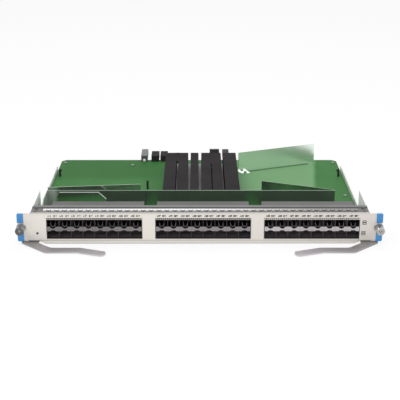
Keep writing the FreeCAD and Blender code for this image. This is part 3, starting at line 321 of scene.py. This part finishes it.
def bent_baffle(name):
    """Bright sheet with a green painted reflection of the board in its colour: its left end duller,
    grey with painted highlight, and a pale painted highlight along the opening's cut edge. The edge
    highlight is a level band and a slanting band."""
    edge_highlight_level, edge_highlight_ends = (32.4, 33.6), (-180.5, -130.5)
    edge_highlight_normal, edge_highlight_band, edge_highlight_slope = (0.672, 0.7405), (-63.75, -62.4), (-130.9, -120.3)
    # the green in the base colour is a painted reflection of the board
    finish = rolled(name, tone(190, 218, 192), 0.17, grain=(1, 1, 12))
    # painted highlight: the left end, the bent return, is duller and grey
    end = finish.ramp(finish.axis("X"), -0.188, -0.181, 1.0, 0.0)
    # painted highlight along the opening's cut edge
    top = finish.both(finish.between("Z", *edge_highlight_level, 0.1), finish.between("X", *edge_highlight_ends, 0.3))
    across = finish.slant(edge_highlight_normal[0], "Z", edge_highlight_normal[1])
    side = finish.both(finish.between(across, *edge_highlight_band, 0.1),
                       finish.between("X", *edge_highlight_slope, 0.2))
    edge_highlight = finish.math("MAXIMUM", top, side)
    plain = finish.math("MAXIMUM", end, edge_highlight)
    finish.link(finish.ramp(plain, 0.0, 1.0, 0.93, 0.1), finish.shader.inputs["Metallic"])
    finish.tint(finish.part(end, 0.8), tone(160, 164, 160))
    finish.tint(edge_highlight, tone(252, 254, 252))
    return finish


def notched_bar(name, colour, group):
    """Middle bar of a port group: under each loop a dark notch of painted shade hangs from its top
    edge. The notch is where height plus a cosine of the place along the row passes a level."""
    notch_deep = 3.2 * MM
    notch_edge = (22.3 * MM, 22.6 * MM)
    finish = rolled(name, colour, 0.4)
    first = GROUP_CENTRE + (group - 1) * GROUP_PITCH + PORT_PITCH / 2
    along = finish.math("ADD", finish.axis("X"), -first * MM)
    wave = finish.wave("COSINE", along, 2 * math.pi / (PORT_PITCH * MM))
    level = finish.math("ADD", finish.axis("Z"), finish.part(wave, notch_deep))
    # painted shade: the dark notch under each loop
    finish.tint(finish.ramp(level, *notch_edge, 0.0, 0.9), tone(26, 24, 25))
    return finish


def knurled(name, front_shade):
    """Turned steel; the front face of the head may be darker, a painted shade."""
    head_front = (-0.0144, -0.0141)
    finish = rolled(name, tone(176, 175, 174), 0.26, grain=(12, 1, 12))
    front = finish.ramp(finish.axis("Y"), *head_front, 1.0, 0.0)
    # painted shade on the head's front face
    finish.tint(finish.part(front, front_shade), tone(104, 102, 102))
    return finish


def finger_sheet(name):
    """Bright spring sheet, with painted shade darker towards its right end and dark along its front
    edge.
    """
    finish = rolled(name, tone(255, 255, 255), 0.24, grain=(10, 1, 10))
    # painted shade: darker towards the right end, away from the key light
    finish.tint(finish.ramp(finish.axis("X"), 0.0, 0.15, 0.0, 1.0), tone(150, 149, 148))
    # painted shade along the front edge
    finish.tint(finish.part(finish.between("Y", 3, 7.2, 0.4), 0.85), tone(90, 88, 87))
    return finish


def port_inside(name, front, deep):
    """Sheet inside the ports: dark at the opening, paler with depth, a painted light deep inside.
    """
    finish = Finish(name, tone(*front), 0.6).dull(0.08)
    grain = finish.noise(700.0, detail=3.0)
    finish.relief(grain, 0.00002)
    # painted light: paler deeper inside the port
    finish.tint(finish.ramp(finish.axis("Y"), 0.003, 0.03), tone(*deep))
    return finish


def lever_coat(name):
    """Satin grey, paler towards the tip with painted light."""
    finish = rolled(name, tone(160, 156, 157), 0.45, grain=(1, 10, 10), metal=0.6)
    reach = finish.math("ABSOLUTE", finish.axis("X"), 0.0)
    # painted light paler towards the tip, painted shade near the pivot
    finish.tint(finish.ramp(reach, 0.2, 0.12, 0.0, 0.9), tone(200, 196, 200))
    return finish


FINISHES = {
    "panel_paint": panel_coat("panel_paint"),
    "cap_blue": moulded("cap_blue", tone(62, 139, 200), 0.38),
    "lens_dark": moulded("lens_dark", tone(40, 38, 40), 0.2),
    "flange_zinc": folded_flange("flange_zinc"),
    "screw_zinc": rolled("screw_zinc", tone(178, 176, 172), 0.3),
    "finger_steel": finger_sheet("finger_steel"),
    "screw_steel": rolled("screw_steel", tone(172, 170, 168), 0.26, grain=(12, 1, 12)),
    "lever_grey": lever_coat("lever_grey"),
    "bracket_zinc": rolled("bracket_zinc", tone(150, 149, 146), 0.36),
    "cage_nickel": perforated("cage_nickel", tone(108, 107, 106), 0.42),
    "separator_metal": rolled("separator_metal", tone(140, 135, 138), 0.4),
    "spring_bronze": rolled("spring_bronze", tone(196, 190, 183), 0.35),
    "connector_black": moulded("connector_black", tone(46, 45, 46), 0.6).dull(0.05),
    "tray_zinc": rolled("tray_zinc", tone(232, 233, 231), 0.5, metal=0.4),
    "board_green": solder_mask("board_green"),
    # the green in the aluminium's colour is a painted reflection of the board
    "baffle_aluminium": rolled("baffle_aluminium", tone(200, 216, 201), 0.17,
                               grain=(1, 1, 12), metal=0.94),
    "sink_black": rolled("sink_black", tone(47, 44, 46), 0.6,
                         grain=(12, 1, 12), metal=0.0).dull(0.03),
    "chip_black": moulded("chip_black", tone(30, 30, 32), 0.55),
    "guide_cast": rolled("guide_cast", tone(124, 124, 126), 0.45, grain=(1, 1, 1)),
}
INSIDE = port_inside("cage_inside", (78, 74, 76), (226, 216, 221))
OWN_FINISH = {
    "side_plate_left": rolled("plate_bright", tone(250, 252, 250), 0.55,
                              grain=(1, 6, 6), metal=0.35),
    "side_plate_right": rolled("plate_satin", tone(255, 255, 255), 0.5,
                               grain=(1, 6, 6), metal=0.05),
    "front_baffle": bent_baffle("baffle_front"),
    # the green in the baffles' colours is a painted reflection of the board; the rear baffle's
    # paler and the right baffle's darker colour are painted light and shade
    "rear_baffle": rolled("baffle_rear", tone(242, 252, 243), 0.2,
                          grain=(1, 1, 12), metal=0.86),
    "right_baffle": rolled("baffle_right", tone(150, 178, 152), 0.2,
                           grain=(1, 1, 12), metal=0.94),
    "board_standoffs": rolled("standoff", tone(190, 190, 188), 0.4, metal=0.3),
    # the two screws are one part: the left knob's darker front is painted shade
    "captive_screw_left": knurled("knob_left", 1.0),
    "captive_screw_right": knurled("knob_right", 0.0),
    "signal_connector": moulded("signal_black", tone(22, 21, 22), 0.6).dull(0.03),
    "guide_block_right": rolled("guide_dark", tone(44, 44, 44), 0.5, grain=(1, 1, 1)),
    "heat_sink_base": rolled("sink_plate", tone(158, 164, 158), 0.4, metal=0.4),
    "board_screws": rolled("screw_dull", tone(128, 138, 126), 0.4, metal=0.5),
    "flange_screws": rolled("screw_dark", tone(84, 82, 82), 0.4),
    # the three bars are one part; their different brightness is painted light and shade
    "port_separator_left": notched_bar("bar_left", tone(134, 130, 132), 0),
    "port_separator_centre": notched_bar("bar_centre", tone(144, 139, 142), 1),
    "port_separator_right": notched_bar("bar_right", tone(196, 191, 193), 2),
}
for group_name in ("left", "centre", "right"):
    floor_name = "port_floor_" + group_name
    OWN_FINISH["port_dividers_" + group_name] = INSIDE
    OWN_FINISH[floor_name] = port_inside(floor_name, (52, 48, 50), (222, 212, 217))
    # painted light: the connectors deep in the ports are coloured near white
    OWN_FINISH["port_connectors_" + group_name] = moulded(
        "port_painted_light_" + group_name, tone(240, 230, 235), 0.6).dull(0.2)
OWN_FINISH["port_springs_right"] = rolled("comb_pale", tone(238, 234, 226), 0.35)

slot_of = {row["node"]: row["material_slot"] for row in frame["record"]["subparts"]}
for node_name, node_object in frame["nodes"].items():
    finish = OWN_FINISH.get(node_name, FINISHES[slot_of[node_name]])
    node_object.data.materials.clear()
    node_object.data.materials.append(finish.material)


# Pieces


def piece(name, points, faces, finish, body, smooth=False):
    """Makes a mesh piece from a point array in millimetres and a list of faces."""
    mesh = bpy.data.meshes.new(name)
    mesh.from_pydata((np.asarray(points) * MM).tolist(), [], faces)
    mesh.materials.append(finish.material)
    if smooth:
        mesh.shade_smooth()
    obj = bpy.data.objects.new(name, mesh)
    bpy.context.scene.collection.objects.link(obj)
    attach(obj, body)
    return obj


def copies(points, faces, shifts):
    """Repeats one mesh at every shift: points plus shift, faces renumbered."""
    points = np.asarray(points, dtype=float)
    shifts = np.asarray(shifts, dtype=float)
    many = (points[None, :, :] + shifts[:, None, :]).reshape(-1, 3)
    count = len(points)
    all_faces = [[i + count * k for i in face] for k in range(len(shifts)) for face in faces]
    return many, all_faces


def joined(parts):
    """Several meshes as one, their faces renumbered."""
    points = []
    faces = []
    start = 0
    for part_points, part_faces in parts:
        points.append(np.asarray(part_points, dtype=float))
        faces.extend([[i + start for i in face] for face in part_faces])
        start += len(part_points)
    return np.concatenate(points), faces


def tube(path, radius, sides=8):
    """A round wire: at each path point a ring of radius r in the plane across the path."""
    path = np.asarray(path, dtype=float)
    along = np.gradient(path, axis=0)
    along /= np.linalg.norm(along, axis=1)[:, None]
    side = np.cross(along, (0.0, 1.0, 0.0))
    side /= np.linalg.norm(side, axis=1)[:, None]
    up = np.cross(side, along)
    turn = np.linspace(0, 2 * np.pi, sides, endpoint=False)
    ring = (np.cos(turn)[None, :, None] * side[:, None, :]
            + np.sin(turn)[None, :, None] * up[:, None, :])
    points = (path[:, None, :] + radius * ring).reshape(-1, 3)
    faces = []
    for i in range(len(path) - 1):
        for j in range(sides):
            k = (j + 1) % sides
            faces.append([i * sides + j, (i + 1) * sides + j, (i + 1) * sides + k, i * sides + k])
    faces.append(list(range(sides)))
    faces.append([(len(path) - 1) * sides + j for j in reversed(range(sides))])
    return points, faces


def port_x(group, column):
    """Middle of a port column: group and column count from the left, from 0."""
    middle = GROUP_CENTRE + (group - 1) * GROUP_PITCH
    return middle + (column - (PORT_COLUMNS - 1) / 2) * PORT_PITCH


COLUMNS = [(group, column) for group in range(3) for column in range(PORT_COLUMNS)]


def lettering(words, height):
    """Flat lettering as a mesh in the X-Z plane, its middle at the origin, facing -Y."""
    curve = bpy.data.curves.new("words", "FONT")
    curve.body = words
    curve.size = 1.0
    curve.resolution_u = 2
    curve.offset = 0.085
    curve.extrude = 0.01
    writer = bpy.data.objects.new("words", curve)
    bpy.context.scene.collection.objects.link(writer)
    bpy.context.view_layer.update()
    graph = bpy.context.evaluated_depsgraph_get()
    mesh = bpy.data.meshes.new_from_object(writer.evaluated_get(graph))
    points = np.empty(len(mesh.vertices) * 3)
    mesh.vertices.foreach_get("co", points)
    points = points.reshape(-1, 3)
    faces = [list(face.vertices) for face in mesh.polygons]
    bpy.data.objects.remove(writer)
    bpy.data.curves.remove(curve)
    bpy.data.meshes.remove(mesh)
    middle = (points.min(axis=0) + points.max(axis=0)) / 2
    points = (points - middle) * (height / (points[:, 1].max() - points[:, 1].min()))
    return np.stack([points[:, 0], -points[:, 2], points[:, 1]], axis=1), faces


def prism(outline, front, back):
    """A flat plate from a closed X-Z outline, between two depths."""
    outline = np.asarray(outline, dtype=float)
    count = len(outline)
    near = np.stack([outline[:, 0], np.full(count, front), outline[:, 1]], axis=1)
    far = np.stack([outline[:, 0], np.full(count, back), outline[:, 1]], axis=1)
    faces = [list(range(count)), [count + i for i in reversed(range(count))]]
    for i in range(count):
        k = (i + 1) % count
        faces.append([k, i, count + i, count + k])
    return np.concatenate([near, far]), faces


def print_port_marks():
    """Above each column: a small triangle and the upper port's number, then the lower port's
    number and a triangle that points down."""
    figure_high = 2.4
    figure_widen = 1.15
    line = 35.8
    upper_middle, lower_middle = -3.2, 2.8
    figure_inward, triangle_outward = 0.7, 1.8
    triangle_half, triangle_foot, triangle_tip = 0.95, 0.8, 1.0
    ink = moulded("mark_ink", tone(52, 50, 52), 0.6).dull(0.05)
    parts = []
    for place, (group, column) in enumerate(COLUMNS):
        x = port_x(group, column)
        for side, number in ((-1, 2 * place + 1), (1, 2 * place + 2)):
            middle = x + (upper_middle if side < 0 else lower_middle)
            points, faces = lettering(str(number), figure_high)
            points[:, 0] *= figure_widen
            points[:, 1] = np.where(points[:, 1] > 0, INK_BACK, INK_FRONT)
            parts.append((points + np.array([middle - side * figure_inward, 0.0, line]), faces))
            centre = middle + side * triangle_outward
            foot = line + side * triangle_foot
            outline = [(centre - triangle_half, foot), (centre + triangle_half, foot),
                       (centre, line - side * triangle_tip)]
            if side > 0:
                outline.reverse()
            parts.append(prism(outline, INK_FRONT, INK_BACK))
    points, faces = joined(parts)
    piece("port_marks", points, faces, ink, "card")


def rounded(x0, x1, z0, z1, radius, steps=5):
    """Outline of a rounded rectangle: a quarter circle at each corner."""
    corners = [(x1 - radius, z1 - radius, 0), (x0 + radius, z1 - radius, 90),
               (x0 + radius, z0 + radius, 180), (x1 - radius, z0 + radius, 270)]
    turn = np.radians(np.linspace(0, 90, steps))
    outline = []
    for x, z, start in corners:
        angle = turn + math.radians(start)
        outline.append(np.stack([x + radius * np.cos(angle), z + radius * np.sin(angle)], axis=1))
    return np.concatenate(outline)


def frame_of(outer, inner, front, back):
    """A flat ring between two outlines with as many points each."""
    count = len(outer)
    rows = []
    for outline, depth in ((outer, front), (inner, front), (inner, back), (outer, back)):
        rows.append(np.stack([outline[:, 0], np.full(count, depth), outline[:, 1]], axis=1))
    faces = []
    for ring in range(4):
        following = (ring + 1) % 4
        for i in range(count):
            k = (i + 1) % count
            faces.append([ring * count + i, ring * count + k,
                          following * count + k, following * count + i])
    return np.concatenate(rows), faces


def print_icons():
    """Two pictures of stacked ports at the right: two rounded squares, one over the other."""
    wide, high = 5.0, 2.7
    ink = moulded("icon_ink", tone(16, 15, 17), 0.6).dull(0.1)
    parts = []
    for left, low in ((195.4, 24.6), (194.8, 11.0)):
        for foot in (low, low + high):
            outer = rounded(left, left + wide, foot, foot + high, 1.0)
            inner = rounded(left + 0.85, left + wide - 0.8, foot + 0.7, foot + high - 0.7, 0.4)
            parts.append(frame_of(outer, inner, INK_FRONT, INK_BACK))
    points, faces = joined(parts)
    piece("port_icons", points, faces, ink, "card")


def bend_latch_loops():
    """A spring loop in each upper port: a U whose bottom is a half circle and whose ends lean
    back and outwards."""
    radius, centre_z, steps = 2.5, 24.2, 13
    wire_radius, setback = 0.34, 1.4
    angle = np.linspace(np.pi, 2 * np.pi, steps)
    bottom = np.stack([radius * np.cos(angle), np.zeros(steps), centre_z + radius * np.sin(angle)],
                      axis=1)
    left = np.array([[-radius - 0.5, 5.0, 27.6], [-radius - 0.2, 2.0, 25.6]])
    right = left * np.array([-1, 1, 1])
    path = np.concatenate([left, bottom, right[::-1]])
    path[:, 1] += setback
    points, faces = tube(path, wire_radius, 6)
    shifts = [(port_x(group, column), 0.0, 0.0) for group, column in COLUMNS]
    points, faces = copies(points, faces, shifts)
    wire = rolled("loop_wire", tone(112, 108, 110), 0.45, metal=0.3)
    piece("latch_loops", points, faces, wire, "card", smooth=True)


def block(x0, x1, y0, y1, z0, z1):
    """A box from its six sides."""
    outline = [(x0, z0), (x1, z0), (x1, z1), (x0, z1)]
    return prism(outline, y0, y1)


def bridge_bars():
    """Black bridges that close the rear of the first and the fourth gap between the bars."""
    low, high, back = BAR_TOP - 3.0, BAR_TOP + 0.2, 280
    parts = [block(-32.6, -29.4, 238, back, low, high), block(15.9, 17.7, 228, back, low, high)]
    points, faces = joined(parts)
    piece("bar_bridges", points, faces, FINISHES["sink_black"], "card")


def fill_wafers():
    """Black contact wafers standing in the gaps of the signal connector."""
    left, step, half_wide = 16.0, 2.0, 0.44
    front, back, low, high = 306.2, 332.8, 16.05, 18.3
    parts = [block(left + step * i - half_wide, left + step * i + half_wide, front, back, low, high)
             for i in range(1, 7)]
    points, faces = joined(parts)
    piece("signal_wafers", points, faces, FINISHES["connector_black"], "card")


def stand_dowel():
    """A pale round head on the front of the left guide block: three rings, the last one smaller,
    and a flat front."""
    centre_x, centre_z, sides = -81.5, 8.7, 24
    turn = np.linspace(0, 2 * np.pi, sides, endpoint=False)
    rings = []
    for radius, front in ((2.1, 308.0), (2.1, 307.2), (1.6, 306.8)):
        rings.append(np.stack([centre_x + radius * np.cos(turn), np.full(sides, front),
                               centre_z + radius * np.sin(turn)], axis=1))
    faces = [list(range(2 * sides, 3 * sides))]
    for ring in range(2):
        for i in range(sides):
            k = (i + 1) % sides
            near, far = ring * sides, (ring + 1) * sides
            faces.append([near + i, near + k, far + k, far + i])
    nylon = moulded("dowel_white", tone(246, 248, 246), 0.4)
    piece("guide_dowel", np.concatenate(rings), faces, nylon, "card")


def stand_posts():
    """Black upright pins at the front ends of the board's three slots: round rods."""
    radius, top, sides = 1.4, 17.8, 16
    places = [(-198.2, 238, 0), (198.2, 238, 0), (-71.2, 184.3, 0)]
    turn = np.linspace(0, 2 * np.pi, sides, endpoint=False)
    ring = np.stack([radius * np.cos(turn), radius * np.sin(turn), np.zeros(sides)], axis=1)
    points = np.concatenate([ring + (0, 0, BOARD_TOP), ring + (0, 0, top)])
    faces = [list(reversed(range(sides))), list(range(sides, 2 * sides))]
    for i in range(sides):
        k = (i + 1) % sides
        faces.append([i, k, sides + k, sides + i])
    points, faces = copies(points, faces, places)
    piece("slot_posts", points, faces, FINISHES["connector_black"], "card")


print_port_marks()
print_icons()
bend_latch_loops()
bridge_bars()
fill_wafers()
stand_dowel()
stand_posts()


# Room, light and camera


def lay_floor():
    """A wide pale floor under the card; the camera sees it nearly white, with the shadow kept."""
    half = 6.0
    seen_white = 0.8
    mesh = bpy.data.meshes.new("floor")
    corners = [(-half, -half, 0), (half, -half, 0), (half, half, 0), (-half, half, 0)]
    mesh.from_pydata(corners, [], [[0, 1, 2, 3]])
    floor = bpy.data.objects.new("floor", mesh)
    bpy.context.scene.collection.objects.link(floor)
    material = bpy.data.materials.new("floor_white")
    material.use_nodes = True
    tree = material.node_tree
    tree.nodes.clear()
    matt = tree.nodes.new("ShaderNodeBsdfDiffuse")
    matt.inputs["Color"].default_value = (0.98, 0.98, 0.98, 1)
    glow = tree.nodes.new("ShaderNodeEmission")
    glow.inputs["Color"].default_value = (1, 1, 1, 1)
    path = tree.nodes.new("ShaderNodeLightPath")
    share = tree.nodes.new("ShaderNodeMath")
    share.operation = "MULTIPLY"
    share.inputs[1].default_value = seen_white
    mix = tree.nodes.new("ShaderNodeMixShader")
    out = tree.nodes.new("ShaderNodeOutputMaterial")
    tree.links.new(path.outputs["Is Camera Ray"], share.inputs[0])
    tree.links.new(share.outputs[0], mix.inputs["Fac"])
    tree.links.new(matt.outputs[0], mix.inputs[1])
    tree.links.new(glow.outputs[0], mix.inputs[2])
    tree.links.new(mix.outputs[0], out.inputs["Surface"])
    mesh.materials.append(material)


def light_world():
    """Even white sky: full white where the camera, metal or glass sees it, dimmer as a lamp."""
    lamp_level = 0.62
    world = bpy.data.worlds.new("studio")
    bpy.context.scene.world = world
    world.use_nodes = True
    tree = world.node_tree
    tree.nodes.clear()
    path = tree.nodes.new("ShaderNodeLightPath")
    sky = tree.nodes.new("ShaderNodeBackground")
    sky.inputs["Color"].default_value = (1, 1, 1, 1)
    seen = tree.nodes.new("ShaderNodeMath")
    seen.operation = "MAXIMUM"
    mirror = tree.nodes.new("ShaderNodeMath")
    mirror.operation = "MAXIMUM"
    tree.links.new(path.outputs["Is Glossy Ray"], mirror.inputs[0])
    tree.links.new(path.outputs["Is Transmission Ray"], mirror.inputs[1])
    tree.links.new(path.outputs["Is Camera Ray"], seen.inputs[0])
    tree.links.new(mirror.outputs[0], seen.inputs[1])
    level = tree.nodes.new("ShaderNodeMapRange")
    level.inputs["To Min"].default_value = lamp_level
    level.inputs["To Max"].default_value = 1.0
    tree.links.new(seen.outputs[0], level.inputs["Value"])
    tree.links.new(level.outputs["Result"], sky.inputs["Strength"])
    out = tree.nodes.new("ShaderNodeOutputWorld")
    tree.links.new(sky.outputs[0], out.inputs["Surface"])


def lamp(name, place, target, size, power):
    """A square soft box that looks at a point."""
    light = bpy.data.lights.new(name, "AREA")
    light.size = size
    light.energy = power
    obj = bpy.data.objects.new(name, light)
    obj.location = place
    gaze = np.asarray(target, dtype=float) - np.asarray(place, dtype=float)
    turn = math.atan2(gaze[1], gaze[0]) - math.pi / 2
    tilt = math.atan2(math.hypot(gaze[0], gaze[1]), -gaze[2])
    obj.rotation_euler = (tilt, 0.0, turn)
    bpy.context.scene.collection.objects.link(obj)


def set_camera():
    """The photograph's view: from the front and above, looking down by the pitch."""
    pitch = 19.736
    roll = -0.08
    yaw = -0.255
    camera = bpy.data.cameras.new("camera")
    camera.sensor_width = 36.0
    camera.lens = 92.65
    camera.clip_end = 50.0
    obj = bpy.data.objects.new("camera", camera)
    obj.location = (-0.0058, -1.1557, 0.4708)
    obj.rotation_euler = (math.radians(90.0 - pitch), math.radians(roll), math.radians(yaw))
    bpy.context.scene.collection.objects.link(obj)
    bpy.context.scene.camera = obj


lay_floor()
light_world()
lamp("key", (-1.1, -1.3, 1.5), (0, 0.1, 0), 1.2, 14.0)
lamp("fill", (1.3, -0.9, 1.1), (0, 0.1, 0), 1.2, 5.0)
lamp("top", (0.0, 0.5, 1.7), (0, 0.15, 0), 1.6, 9.0)
set_camera()
bpy.context.scene.view_settings.view_transform = "Standard"
